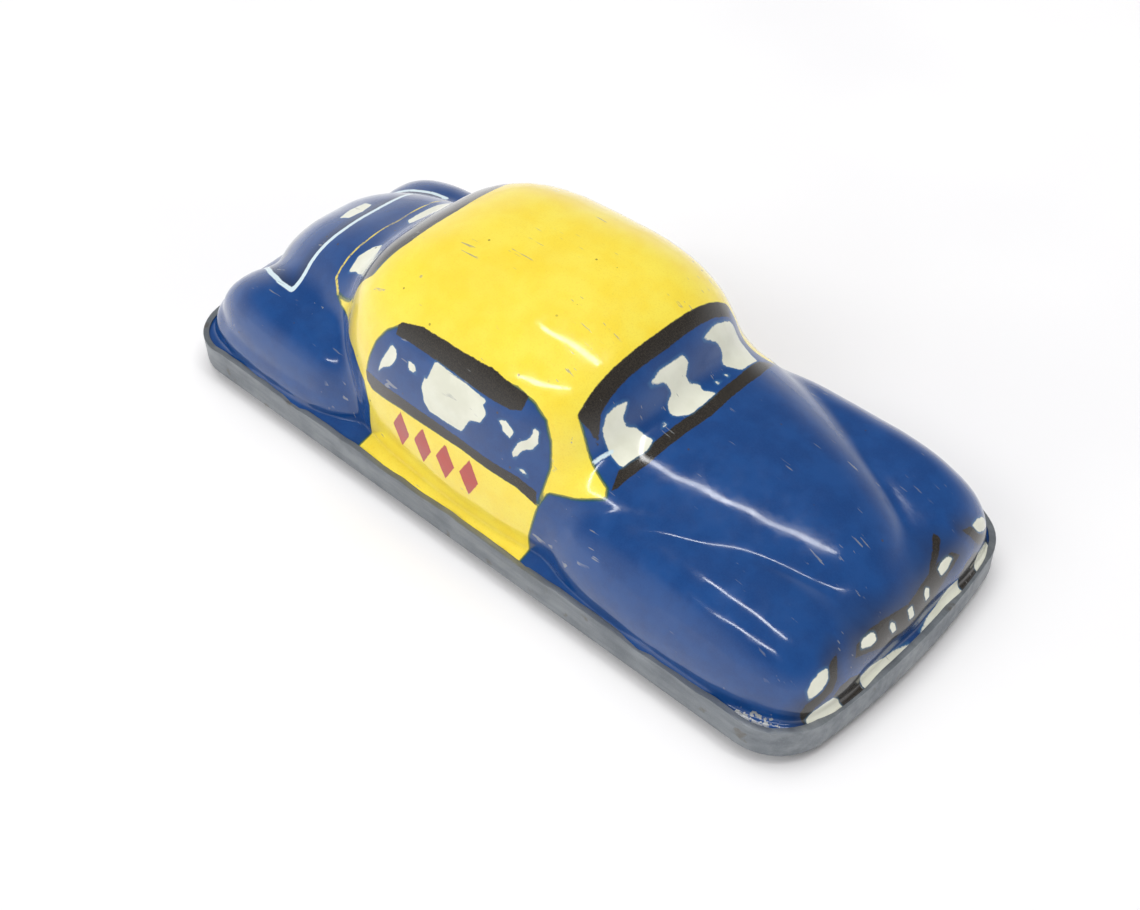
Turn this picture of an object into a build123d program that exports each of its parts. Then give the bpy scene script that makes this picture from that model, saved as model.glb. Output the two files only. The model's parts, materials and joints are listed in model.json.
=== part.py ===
from build123d import *
import os
from math import acos, cos, pi, radians, sin, tan
import numpy as np

# A small pressed-tin saloon car with a friction motor, millimetres.
# +X is the front of the car, +Y its left side, +Z up. The tyres stand on Z = 0,
# and the origin is under the middle of the car.

# ---- driving dimensions ----------------------------------------------------
LENGTH = 87.8                  # over the rim of the base pan
WIDTH = 36.5
TIN = 0.3                      # thickness of the body and base tinplate
PLATE = 0.5                    # thickness of the steel motor frame and brackets
RUNNING_GAP = 0.05             # radial clearance of a shaft in its plate hole
FRONT_BOW = 1.9                # how far the middle of each end stands past its corners
REAR_BOW = 2.5
FRONT_CORNER = 6.0
REAR_CORNER = 5.8

PAN_Z = 1.1                    # underside of the base pan
RIM_TOP_Z = 4.5                # top of the crimped rim
RIM_LIP = 0.6                  # how far the crimp reaches in over the body flange
FLANGE_Z = 3.9                 # underside of the body flange
FLANGE_INSET = 0.4             # flange edge inside the rim's outer face

TYRE_RADIUS = 5.2
TYRE_WIDTH = 2.8
TYRE_Y = 11.6                  # middle of each tyre
HUB_RADIUS = 3.6
AXLE_RADIUS = 0.75
AXLE_HALF_LENGTH = 13.6
FRONT_AXLE_X = 27.5
REAR_AXLE_X = -26.0

MODULE = 0.4                   # gear tooth size
AXLE_GEAR_TEETH = 16
PINION_TEETH = 8
LAYSHAFT_GEAR_TEETH = 17
LAYSHAFT_ANGLE = 40.0          # direction of the layshaft as seen from the rear axle
FLYWHEEL_ANGLE = 3.0           # direction of the flywheel shaft as seen from the layshaft
SHAFT_RADIUS = 0.6
FLYWHEEL_RADIUS = 6.8
FLYWHEEL_Y = (-6.0, -0.2)

FRAME_X = (-29.5, -14.0)       # motor frame, rear and front edges
FRAME_TOP_Z = 12.9
FRAME_SHOULDER = (-22.5, 7.9)  # the plates slope down from this x to this height at the rear edge
GEAR_PLATE_Y = (1.2, 8.4)      # right faces of the two plates beside the gears
BRACKET_Y = -7.6               # right face of the plate outside the flywheel

# ---- positions worked out from them ----------------------------------------
PAN_TOP_Z = PAN_Z + TIN
AXLE_Z = TYRE_RADIUS
FIRST_CENTRES = MODULE * (AXLE_GEAR_TEETH + PINION_TEETH) / 2
SECOND_CENTRES = MODULE * (LAYSHAFT_GEAR_TEETH + PINION_TEETH) / 2
LAYSHAFT_XZ = (REAR_AXLE_X + FIRST_CENTRES * cos(radians(LAYSHAFT_ANGLE)),
               AXLE_Z + FIRST_CENTRES * sin(radians(LAYSHAFT_ANGLE)))
FLYWHEEL_XZ = (LAYSHAFT_XZ[0] + SECOND_CENTRES * cos(radians(FLYWHEEL_ANGLE)),
               LAYSHAFT_XZ[1] + SECOND_CENTRES * sin(radians(FLYWHEEL_ANGLE)))
REAR_AXLE_XZ = (REAR_AXLE_X, AXLE_Z)
FRONT_AXLE_XZ = (FRONT_AXLE_X, AXLE_Z)


# ---- the pressed body's skin -------------------------------------------------
# Each lobe is a squared-off ellipsoid that stands on the sill, and the skin is
# their smooth union. The fenders and the rear pods are lobes mirrored across
# the middle.
SILL_Z = 4.0
LOBES = {
    # centre, half sizes, squareness in plan and in height, blend, fall per mm forward
    "nose": ((26.0, 0, SILL_Z), (16.6, 17.1, 7.4), (4.6, 3.4), 1.8, 0),
    "front_fenders": ((25.3, 10.7, SILL_Z), (16.4, 6.2, 9.0), (3.4, 2.8), 2.2, 0),
    "hood": ((4.3, 0, SILL_Z), (38.2, 16.4, 13.5), (2.0, 3.0), 0.8, 0.045),
    "doors": ((-2.1, 0, SILL_Z), (22.0, 14.5, 9.0), (5.0, 5.0), 2.5, 0),
    "cabin": ((-3.4, 0, 8.8), (19.7, 16.1, 16.8), (3.1, 2.8), 2.0, -0.015),
    "tail": ((-28.5, 0, SILL_Z), (14.4, 17.2, 4.2), (4.2, 3.6), 2.0, 0),
    "rear_pods": ((-27.5, 11.3, SILL_Z), (13.2, 5.9, 8.4), (2.7, 2.7), 1.3, 0),
    "boot": ((-25.4, 0, SILL_Z), (16.4, 11.6, 13.7), (2.6, 3.0), 2.2, -0.24),
    "sill": ((0, 0, SILL_Z), (42.6, 17.4, 1.3), (4.6, 2.5), 1.6, 0),
}
FAN_Z = -8.0                   # the skin is measured along rays from a spine below the car
FAN_HALF = (48.0, 21.0)        # how far the rays spread at sill height
SPINE_SHARE = 0.65             # the spine's length as a share of that spread
RAY_COUNT = (41, 29)


def lobe_gap(points, centre, half, squareness, fall):
    """Distance from points to one lobe, negative inside it."""
    offset = points - np.array(centre)
    offset[..., 2] += fall * offset[..., 0]
    share = np.abs(offset / np.array(half))
    in_plan, in_height = squareness
    plan = (share[..., 0] ** in_plan + share[..., 1] ** in_plan) ** (1 / in_plan)
    scale = (plan ** in_height + share[..., 2] ** in_height) ** (1 / in_height) + 1e-9
    return np.linalg.norm(offset, axis=-1) * (1 - 1 / scale)


def soft_union(first, second, blend):
    """Smooth minimum of two gaps, which rounds the valley between two lobes."""
    mix = np.clip(0.5 + 0.5 * (second - first) / blend, 0, 1)
    return second * (1 - mix) + first * mix - blend * mix * (1 - mix)


def skin_gap(points):
    """Distance from points to the body's outer skin. Below the sill its sides drop straight down."""
    folded = points.copy()
    folded[..., 1] = np.abs(folded[..., 1])
    folded[..., 2] = np.maximum(folded[..., 2], SILL_Z)
    gap = None
    for centre, half, squareness, blend, fall in LOBES.values():
        lobe = lobe_gap(folded, centre, half, squareness, fall)
        gap = lobe if gap is None else soft_union(gap, lobe, blend)
    return gap


def fan_positions():
    """Where each row of rays crosses sill height, along X."""
    return np.linspace(-FAN_HALF[0], FAN_HALF[0], RAY_COUNT[0])


def skin_points(inset):
    """Grid of points where rays that fan out from the spine leave the skin.

    Inset is measured square to the skin, but each point moves back along its own ray.
    """
    spread_y = np.linspace(-FAN_HALF[1], FAN_HALF[1], RAY_COUNT[1])
    x, y = np.meshgrid(fan_positions(), spread_y, indexing="ij")
    starts = np.stack([SPINE_SHARE * x, 0 * x, FAN_Z + 0 * x], -1)
    rays = np.stack([x, y, SILL_Z + 0 * x], -1) - starts
    inside = np.full(x.shape, 0.3)
    outside = np.full(x.shape, 3.2)
    for _ in range(40):
        middle = (inside + outside) / 2
        is_inside = skin_gap(starts + rays * middle[..., None]) < 0
        inside = np.where(is_inside, middle, inside)
        outside = np.where(is_inside, outside, middle)
    points = starts + rays * inside[..., None]
    step = 0.01
    slopes = [skin_gap(points + step * axis) - skin_gap(points - step * axis) for axis in np.eye(3)]
    normals = np.stack(slopes, -1)
    normals /= np.linalg.norm(normals, axis=-1, keepdims=True)
    directions = rays / np.linalg.norm(rays, axis=-1, keepdims=True)
    slant = (directions * normals).sum(-1, keepdims=True)
    return points - directions * inset / slant


def skin_solid(inset):
    """Solid under the skin: a loft through one closed section for each row of rays."""
    parameters = list(np.linspace(0, 1, RAY_COUNT[1]))
    sections = []
    for fan_x, row in zip(fan_positions(), skin_points(inset)):
        right, left = Vector(*row[0]), Vector(*row[-1])
        crest = Edge.make_spline([Vector(*point) for point in row], parameters=parameters)
        root = Vector(SPINE_SHARE * fan_x, 0, FAN_Z)
        low_right = root + 0.6 * (right - root)
        low_left = root + 0.6 * (left - root)
        sides = [Edge.make_line(*pair) for pair in ((left, low_left), (low_left, low_right), (low_right, right))]
        sections.append(Wire([crest] + sides))
    return Solid.make_loft(sections, ruled=True)


# ---- outline of the car at the rim -------------------------------------------
def rim_outline(inset, z):
    """Plan outline of the base pan, moved in by inset: straight sides and bowed ends."""
    half_length = LENGTH / 2 - inset
    half_width = WIDTH / 2 - inset
    front = half_length - FRONT_BOW
    rear = -half_length + REAR_BOW
    with BuildSketch(Plane.XY.offset(z)) as sketch:
        with BuildLine():
            Line((rear, -half_width), (front, -half_width))
            ThreePointArc((front, -half_width), (half_length, 0), (front, half_width))
            Line((front, half_width), (rear, half_width))
            ThreePointArc((rear, half_width), (-half_length, 0), (rear, -half_width))
        make_face()
        fillet(sketch.vertices().filter_by(lambda v: v.X > 0), FRONT_CORNER - inset)
        fillet(sketch.vertices().filter_by(lambda v: v.X < -LENGTH / 3), REAR_CORNER - inset)
    return sketch.sketch


def slab(inset, low, high):
    """The rim outline as a solid between two heights."""
    return extrude(rim_outline(inset, low), high - low)


def block(x, y, z):
    """Rectangular block between (low, high) pairs."""
    size = Box(x[1] - x[0], y[1] - y[0], z[1] - z[0])
    return Pos((x[0] + x[1]) / 2, (y[0] + y[1]) / 2, (z[0] + z[1]) / 2) * size


def cross_rod(radius, xz, y):
    """Round rod along Y at (x, z), between y = (low, high)."""
    rod = Cylinder(radius, y[1] - y[0], rotation=(90, 0, 0))
    return Pos(xz[0], (y[0] + y[1]) / 2, xz[1]) * rod


def body_shell():
    """Body pressing: the skin, open underneath, with a flat flange round its foot."""
    hollow = skin_solid(TIN)
    above_flange = block((-LENGTH, LENGTH), (-WIDTH, WIDTH), (FLANGE_Z, LENGTH))
    wall = (skin_solid(0) & above_flange) - hollow
    flange = slab(FLANGE_INSET, FLANGE_Z, FLANGE_Z + TIN) - hollow
    return wall + flange


# ---- base pan ------------------------------------------------------------------
SLOT_SIZE = (9.8, 4.0)
TAB_X = (-27.4, -16.2)         # tabs of the motor frame
TAB_WIDTH = 2.2
TAB_LENGTH = 1.3               # how far each tab is bent over under the pan
TAB_SLOT_GAP = 0.1
RIVET_RADIUS = 0.6
RIVET_HEAD_RADIUS = 1.2
RIVET_HEAD = 0.45
FRONT_BRACKET_Y = 8.5          # outer faces of the front axle bracket
FRONT_BRACKET_X = 6.0
FOOT_X = (-19.8, -13.4)        # foot of the flywheel bracket
FOOT_Y = -8.9                  # its rivets
FRONT_RIVETS = [(FRONT_AXLE_X, -4.5), (FRONT_AXLE_X, 4.5)]
BRACKET_RIVETS = [(-18.3, FOOT_Y), (-14.9, FOOT_Y)]


def base_pan():
    """Tray of tinplate whose rim stands up round the body flange and is crimped over it."""
    pan = slab(0, PAN_Z, RIM_TOP_Z)
    pan -= slab(TIN, PAN_TOP_Z, RIM_TOP_Z - TIN)
    pan -= slab(RIM_LIP, PAN_TOP_Z, RIM_TOP_Z + 1)
    bottom_edges = pan.edges().filter_by(lambda e: abs(e.center().Z - PAN_Z) < 0.01 and e.length > 1)
    pan = fillet(bottom_edges, TIN * 0.9)
    for axle_x in (FRONT_AXLE_X, REAR_AXLE_X):
        for side in (-1, 1):
            slot = SlotOverall(SLOT_SIZE[0], SLOT_SIZE[1])
            pan -= extrude(Pos(axle_x, side * TYRE_Y, PAN_Z - 1) * slot, 3)
    for tab_x in TAB_X:
        for plate_y in GEAR_PLATE_Y:
            pan -= block((tab_x - TAB_WIDTH / 2 - TAB_SLOT_GAP, tab_x + TAB_WIDTH / 2 + TAB_SLOT_GAP),
                         (plate_y - TAB_SLOT_GAP, plate_y + PLATE + TAB_SLOT_GAP), (0, 3))
    for x, y in FRONT_RIVETS + BRACKET_RIVETS:
        pan -= Pos(x, y, PAN_Z) * Cylinder(RIVET_RADIUS, 3)
    return pan


# ---- motor frame and brackets ----------------------------------------------------
def motor_plate(y, shafts):
    """One upright plate beside the motor, sloping down behind, with a hole for each (radius, x and z)."""
    rear_x, front_x = FRAME_X
    shoulder_x, rear_z = FRAME_SHOULDER
    outline = [(rear_x, PAN_TOP_Z), (front_x, PAN_TOP_Z), (front_x, FRAME_TOP_Z),
               (shoulder_x, FRAME_TOP_Z), (rear_x, rear_z)]
    plane = Plane((0, y, 0), x_dir=(1, 0, 0), z_dir=(0, -1, 0))
    plate = extrude(plane * make_face(Polyline(*outline, close=True)), -PLATE)
    for radius, xz in shafts:
        plate -= cross_rod(radius + RUNNING_GAP, xz, (y - 1, y + PLATE + 1))
    return plate


def motor_frame():
    """Inverted U of steel: two plates, the bridge over the gears, and four bent tabs."""
    shafts = ((AXLE_RADIUS, REAR_AXLE_XZ), (SHAFT_RADIUS, LAYSHAFT_XZ), (SHAFT_RADIUS, FLYWHEEL_XZ))
    bridge_y = (GEAR_PLATE_Y[0], GEAR_PLATE_Y[1] + PLATE)
    frame = block((FRAME_SHOULDER[0], FRAME_X[1]), bridge_y, (FRAME_TOP_Z - PLATE, FRAME_TOP_Z))
    for y in GEAR_PLATE_Y:
        frame += motor_plate(y, shafts)
        for tab_x in TAB_X:
            tab_span = (tab_x - TAB_WIDTH / 2, tab_x + TAB_WIDTH / 2)
            frame += block(tab_span, (y, y + PLATE), (PAN_Z - PLATE, PAN_TOP_Z))
            frame += block(tab_span, (y - TAB_LENGTH, y + PLATE), (PAN_Z - PLATE, PAN_Z))
    bends = frame.edges().filter_by(Axis.X).filter_by(lambda e: e.center().Z > FRAME_TOP_Z - 0.01)
    return fillet(bends, PLATE * 0.8)


def flywheel_bracket():
    """L of steel outside the flywheel, with a riveted foot."""
    plate = motor_plate(BRACKET_Y, ((AXLE_RADIUS, REAR_AXLE_XZ), (SHAFT_RADIUS, FLYWHEEL_XZ)))
    foot = block(FOOT_X, (FOOT_Y - 1.1, BRACKET_Y + PLATE), (PAN_TOP_Z, PAN_TOP_Z + PLATE))
    for x, y in BRACKET_RIVETS:
        foot -= Pos(x, y, PAN_TOP_Z) * Cylinder(RIVET_RADIUS, 3)
    front_corner = plate.edges().filter_by(Axis.Y).sort_by(lambda e: e.center().X + e.center().Z)[-1]
    return fillet(front_corner, 3.0) + foot


def front_axle_bracket():
    """U of steel that carries the front axle, riveted to the pan."""
    x = (FRONT_AXLE_X - FRONT_BRACKET_X / 2, FRONT_AXLE_X + FRONT_BRACKET_X / 2)
    bracket = block(x, (-FRONT_BRACKET_Y, FRONT_BRACKET_Y), (PAN_TOP_Z, PAN_TOP_Z + PLATE))
    top_z = AXLE_Z + 2.2
    for right_y in (-FRONT_BRACKET_Y, FRONT_BRACKET_Y - PLATE):
        leg = block(x, (right_y, right_y + PLATE), (PAN_TOP_Z, top_z))
        leg -= cross_rod(AXLE_RADIUS + RUNNING_GAP, FRONT_AXLE_XZ, (right_y - 1, right_y + 2))
        corners = leg.edges().filter_by(Axis.Y).filter_by(lambda e: e.center().Z > top_z - 0.01)
        bracket += fillet(corners, 2.0)
    for x, y in FRONT_RIVETS:
        bracket -= Pos(x, y, PAN_TOP_Z) * Cylinder(RIVET_RADIUS, 3)
    return bracket


def rivets(places):
    """Round-headed rivets through the pan and one bracket, as separate solids."""
    shank = (PAN_Z, PAN_TOP_Z + PLATE)
    result = []
    for x, y in places:
        rivet = Pos(x, y, sum(shank) / 2) * Cylinder(RIVET_RADIUS, shank[1] - shank[0])
        for z, away in ((shank[0], -1), (shank[1], 1)):
            head = Pos(x, y, z + away * RIVET_HEAD / 2) * Cylinder(RIVET_HEAD_RADIUS, RIVET_HEAD)
            outer_rim = head.edges().filter_by(lambda e: abs(e.center().Z - z - away * RIVET_HEAD) < 0.01)
            rivet += fillet(outer_rim, RIVET_HEAD * 0.8)
        result.append(rivet)
    return Compound(children=result)


# ---- wheels and axles ----------------------------------------------------------------
def axle(xz):
    """Axle rod with its ends peened into low domes outside the hubs."""
    rod = cross_rod(AXLE_RADIUS, xz, (-AXLE_HALF_LENGTH, AXLE_HALF_LENGTH))
    for side in (-1, 1):
        tip = side * AXLE_HALF_LENGTH
        head = cross_rod(1.15, xz, (tip - 0.25, tip + 0.25))
        outer_rim = head.edges().filter_by(lambda e: abs(e.center().Y - tip - side * 0.25) < 0.01)
        rod += fillet(outer_rim, 0.4)
    return rod


def turned(profile, xz, y, side):
    """Solid of revolution about a cross axis. Profile points are (radius, distance outwards from y)."""
    plane = Plane((xz[0], y, xz[1]), x_dir=(1, 0, 0), z_dir=(0, 0, side))
    face = make_face(Polyline(*profile, close=True))
    return revolve(plane * face, Axis((xz[0], 0, xz[1]), (0, 1, 0)))


def hub(xz, side):
    """Pressed wheel disc: a boss on the axle, a dished web and a rolled rim."""
    inner = side * (TYRE_Y - TYRE_WIDTH / 2)
    half = 0.35
    profile = [
        (AXLE_RADIUS, -0.6), (1.5, -0.6), (1.5, 0.9), (2.4, 1.2), (2.8, 0.3), (HUB_RADIUS, 0.3),
        (HUB_RADIUS, 2.5), (3.2, 2.5), (3.2, 1.0), (3.0, 0.9), (2.6, 1.2 + 2 * half), (1.5, 1.75), (AXLE_RADIUS, 1.75),
    ]
    return turned(profile, xz, inner, side)


def tyre(xz, side):
    """Rubber tyre with a rounded tread, seated on the hub's rim."""
    inner = side * (TYRE_Y - TYRE_WIDTH / 2)
    ring = turned([(HUB_RADIUS, 0), (TYRE_RADIUS, 0), (TYRE_RADIUS, TYRE_WIDTH), (HUB_RADIUS, TYRE_WIDTH)],
                  xz, inner, side)
    shoulders = ring.edges().filter_by(GeomType.CIRCLE).filter_by(lambda e: e.radius > TYRE_RADIUS - 0.01)
    return fillet(shoulders, 0.9)


# ---- gears -----------------------------------------------------------------------------
def gear(teeth, xz, y, bore_radius, first_tooth):
    """Spur gear with involute flanks. first_tooth is the direction of one tooth, in degrees."""
    pitch = MODULE * teeth / 2
    base = pitch * cos(radians(20))
    tip = pitch + 0.85 * MODULE
    root = pitch - 1.15 * MODULE
    half_tooth = 0.43 * pi / teeth
    pitch_roll = tan(radians(20)) - radians(20)
    flank = []
    for step in range(5):
        radius = max(base, root) + (tip - max(base, root)) * step / 4
        pressure = acos(base / radius)
        flank.append((radius, half_tooth + pitch_roll - (tan(pressure) - pressure)))
    if root < base:
        flank.insert(0, (root, flank[0][1] * 1.15))
    outline = []
    for tooth in range(teeth):
        middle = radians(first_tooth) + 2 * pi * tooth / teeth
        outline += [(r * cos(middle - a), r * sin(middle - a)) for r, a in flank]
        outline += [(r * cos(middle + a), r * sin(middle + a)) for r, a in reversed(flank)]
    plane = Plane((xz[0], y[0], xz[1]), x_dir=(1, 0, 0), z_dir=(0, -1, 0))
    blank = extrude(plane * make_face(Polyline(*outline, close=True)), -(y[1] - y[0]))
    return blank - cross_rod(bore_radius, xz, (y[0] - 1, y[1] + 1))


def gear_train():
    """The four gears, each in mesh at rest: one wheel's tooth faces the other's gap."""
    lay = LAYSHAFT_ANGLE
    fly = FLYWHEEL_ANGLE
    half_pinion = 180 / PINION_TEETH
    return {
        "rear_axle_gear": gear(AXLE_GEAR_TEETH, REAR_AXLE_XZ, (5.0, 6.4), AXLE_RADIUS, lay),
        "layshaft_pinion": gear(PINION_TEETH, LAYSHAFT_XZ, (4.4, 7.4), SHAFT_RADIUS, lay + 180 + half_pinion),
        "layshaft_gear": gear(LAYSHAFT_GEAR_TEETH, LAYSHAFT_XZ, (3.0, 4.0), SHAFT_RADIUS, fly),
        "flywheel_pinion": gear(PINION_TEETH, FLYWHEEL_XZ, (2.2, 4.2), SHAFT_RADIUS, fly + 180 + half_pinion),
    }


# ---- flywheel and shafts ------------------------------------------------------------------
def flywheel():
    """Cast disc with a heavy rim, a dished web on both faces and a boss on the shaft."""
    disc = cross_rod(FLYWHEEL_RADIUS, FLYWHEEL_XZ, FLYWHEEL_Y)
    disc = fillet(disc.edges().filter_by(GeomType.CIRCLE), 0.5)
    for face_y, inwards in ((FLYWHEEL_Y[0], 1), (FLYWHEEL_Y[1], -1)):
        span = sorted((face_y - inwards, face_y + inwards * 1.4))
        disc -= cross_rod(5.0, FLYWHEEL_XZ, span) - cross_rod(2.2, FLYWHEEL_XZ, span)
    return disc - cross_rod(SHAFT_RADIUS, FLYWHEEL_XZ, (-10, 10))


def flywheel_collars():
    """Two loose-looking thrust collars that hold the flywheel between its plates."""
    result = []
    for span in ((BRACKET_Y + PLATE + 0.1, FLYWHEEL_Y[0]), (FLYWHEEL_Y[1], GEAR_PLATE_Y[0] - 0.1)):
        result.append(cross_rod(1.3, FLYWHEEL_XZ, span) - cross_rod(SHAFT_RADIUS, FLYWHEEL_XZ, (-10, 10)))
    return Compound(children=result)


def plain_shaft(xz, y):
    """Shaft with chamfered ends."""
    rod = cross_rod(SHAFT_RADIUS, xz, y)
    return chamfer(rod.edges().filter_by(GeomType.CIRCLE), 0.15)


def all_parts():
    """Every sub-part by name."""
    parts = {
        "body_shell": body_shell(),
        "base_pan": base_pan(),
        "motor_frame": motor_frame(),
        "flywheel_bracket": flywheel_bracket(),
        "front_axle_bracket": front_axle_bracket(),
        "front_bracket_rivets": rivets(FRONT_RIVETS),
        "flywheel_bracket_rivets": rivets(BRACKET_RIVETS),
        "flywheel": flywheel(),
        "flywheel_collars": flywheel_collars(),
        "flywheel_shaft": plain_shaft(FLYWHEEL_XZ, (-8.3, 9.5)),
        "layshaft": plain_shaft(LAYSHAFT_XZ, (0.6, 9.5)),
        "rear_axle": axle(REAR_AXLE_XZ),
        "front_axle": axle(FRONT_AXLE_XZ),
    }
    parts.update(gear_train())
    for end, xz in (("front", FRONT_AXLE_XZ), ("rear", REAR_AXLE_XZ)):
        for name, side in (("left", 1), ("right", -1)):
            parts[f"{end}_hub_{name}"] = hub(xz, side)
            parts[f"{end}_tyre_{name}"] = tyre(xz, side)
    return parts


if __name__ == "__main__":
    os.makedirs("parts", exist_ok=True)
    for name, part in all_parts().items():
        export_step(part, f"parts/{name}.step")
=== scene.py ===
import bmesh
import bpy
import json
import numpy as np
from math import atan2, cos, pi, radians, sin, sqrt
from mathutils import Matrix, Vector


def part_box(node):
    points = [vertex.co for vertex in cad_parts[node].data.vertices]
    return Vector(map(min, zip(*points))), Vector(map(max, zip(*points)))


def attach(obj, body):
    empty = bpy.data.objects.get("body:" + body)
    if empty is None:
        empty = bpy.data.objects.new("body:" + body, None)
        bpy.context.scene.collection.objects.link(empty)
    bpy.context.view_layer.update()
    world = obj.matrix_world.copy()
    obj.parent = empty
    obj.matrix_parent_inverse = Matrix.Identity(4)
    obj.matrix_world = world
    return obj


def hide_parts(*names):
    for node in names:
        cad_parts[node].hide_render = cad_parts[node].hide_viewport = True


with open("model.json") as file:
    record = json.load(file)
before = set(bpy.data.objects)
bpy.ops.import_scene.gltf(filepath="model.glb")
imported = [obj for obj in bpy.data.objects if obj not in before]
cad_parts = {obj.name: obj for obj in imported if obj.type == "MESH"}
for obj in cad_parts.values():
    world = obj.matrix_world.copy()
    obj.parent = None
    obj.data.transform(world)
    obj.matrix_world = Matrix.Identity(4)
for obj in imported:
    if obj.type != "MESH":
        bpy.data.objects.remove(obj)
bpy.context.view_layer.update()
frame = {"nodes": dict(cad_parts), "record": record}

# A small lithographed tin saloon car. Shapes are worked out in millimetres in the frame's
# axes (+X the front, +Y the left side, +Z up) and scaled to metres as meshes are made.
MM = 0.001

pan_low, pan_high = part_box("base_pan")
LENGTH = (pan_high.x - pan_low.x) / MM
WIDTH = (pan_high.y - pan_low.y) / MM
TIN = 0.3
FLANGE_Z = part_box("body_shell")[0].z / MM
FLANGE_TOP_Z = FLANGE_Z + TIN
FLANGE_INSET = 0.4             # the body flange stops this far inside the rim's outline
FRONT_BOW, REAR_BOW = 1.9, 2.5
FRONT_CORNER, REAR_CORNER = 6.0, 5.8
BOW_POINTS, CORNER_POINTS, SIDE_POINTS = 40, 24, 800

# ---- the pressed body's skin: the same lobes as the CAD body ------------------------
SILL_Z = 4.0
LOBES = {
    # centre, half sizes, squareness in plan and in height, blend, fall per mm forward
    "nose": ((26.0, 0, SILL_Z), (16.6, 17.1, 7.4), (4.6, 3.4), 1.8, 0),
    "front_fenders": ((25.3, 10.7, SILL_Z), (16.4, 6.2, 9.0), (3.4, 2.8), 2.2, 0),
    "hood": ((4.3, 0, SILL_Z), (38.2, 16.4, 13.5), (2.0, 3.0), 0.8, 0.045),
    "doors": ((-2.1, 0, SILL_Z), (22.0, 14.5, 9.0), (5.0, 5.0), 2.5, 0),
    "cabin": ((-3.4, 0, 8.8), (19.7, 16.1, 16.8), (3.1, 2.8), 2.0, -0.015),
    "tail": ((-28.5, 0, SILL_Z), (14.4, 17.2, 4.2), (4.2, 3.6), 2.0, 0),
    "rear_pods": ((-27.5, 11.3, SILL_Z), (13.2, 5.9, 8.4), (2.7, 2.7), 1.3, 0),
    "boot": ((-25.4, 0, SILL_Z), (16.4, 11.6, 13.7), (2.6, 3.0), 2.2, -0.24),
    "sill": ((0, 0, SILL_Z), (42.6, 17.4, 1.3), (4.6, 2.5), 1.6, 0),
}
FOOT_BLEND = 0.9               # small radius where the skin turns out into its flange
SPINE_Z = -8.0                 # the skin is measured along rays from a spine below the car,
SPINE_SHARE = 0.65             # each from this share of its own x
RAY_SHARES = (0.3, 3.2)        # every ray meets the skin between these multiples of itself
HALVINGS = 26
LEAST_SLANT = 0.3              # a ray is taken to meet the skin no more flatly than this
CELLS = (376, 184)             # grid of the outer skin, along and across the car
INNER_STEP = 4                 # the inner skin has one cell for this many each way

# Small dents and creases in the tin: place, radius and depth (negative stands proud).
DENTS = [
    ((13.4, -14.4, 10.6), 1.5, 0.20), ((15.3, -15.2, 10.0), 1.0, -0.12),
    ((11.7, -15.0, 8.6), 1.2, 0.16), ((17.5, -14.2, 11.6), 1.3, 0.10),
    ((-17.6, -15.6, 8.6), 1.8, 0.24), ((-20.1, -16.2, 6.8), 1.6, -0.15),
    ((-25.6, -11.4, 12.4), 1.3, 0.20), ((-22.9, -12.4, 12.4), 1.0, -0.14),
    ((-37.6, -16.4, 7.0), 2.0, 0.16), ((36.0, -5.0, 12.0), 1.2, 0.06),
    ((14.4, 14.6, 10.4), 1.5, 0.18), ((-18.1, 15.8, 8.0), 1.8, 0.18),
    ((1.0, 4.0, 25.6), 5.0, 0.10), ((29.0, 12.0, 13.0), 3.0, 0.07),
]


def lobe_gap(points, centre, half, squareness, fall):
    """Distance from points to one lobe, negative inside it."""
    offset = points - np.array(centre)
    offset[..., 2] += fall * offset[..., 0]
    share = np.abs(offset / np.array(half))
    in_plan, in_height = squareness
    plan = (share[..., 0] ** in_plan + share[..., 1] ** in_plan) ** (1 / in_plan)
    scale = (plan ** in_height + share[..., 2] ** in_height) ** (1 / in_height) + 1e-9
    return np.linalg.norm(offset, axis=-1) * (1 - 1 / scale)


def soft_union(first, second, blend):
    """Smooth minimum of two gaps, which rounds the valley between two lobes."""
    mix = np.clip(0.5 + 0.5 * (second - first) / blend, 0, 1)
    return second * (1 - mix) + first * mix - blend * mix * (1 - mix)


def skin_gap(points):
    """Distance from points to the outer skin and the top of the flange round it."""
    folded = points.copy()
    folded[..., 1] = np.abs(folded[..., 1])
    folded[..., 2] = np.maximum(folded[..., 2], SILL_Z)
    gap = None
    for centre, half, squareness, blend, fall in LOBES.values():
        lobe = lobe_gap(folded, centre, half, squareness, fall)
        gap = lobe if gap is None else soft_union(gap, lobe, blend)
    return soft_union(gap, points[..., 2] - FLANGE_TOP_Z, FOOT_BLEND)


def quarter_outline(half_length, half_width, bow, corner):
    """From the middle of a bowed end, round its corner, to the straight side."""
    bow_radius = (half_width ** 2 + bow ** 2) / (2 * bow)
    bow_x = half_length - bow_radius
    corner_x = bow_x + sqrt((bow_radius - corner) ** 2 - (half_width - corner) ** 2)
    turn = atan2(half_width - corner, corner_x - bow_x)
    end = [(bow_x + bow_radius * cos(a), bow_radius * sin(a))
           for a in np.linspace(0, turn, BOW_POINTS)]
    bend = [(corner_x + corner * cos(a), half_width - corner + corner * sin(a))
            for a in np.linspace(turn, pi / 2, CORNER_POINTS)]
    return end + bend


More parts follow.
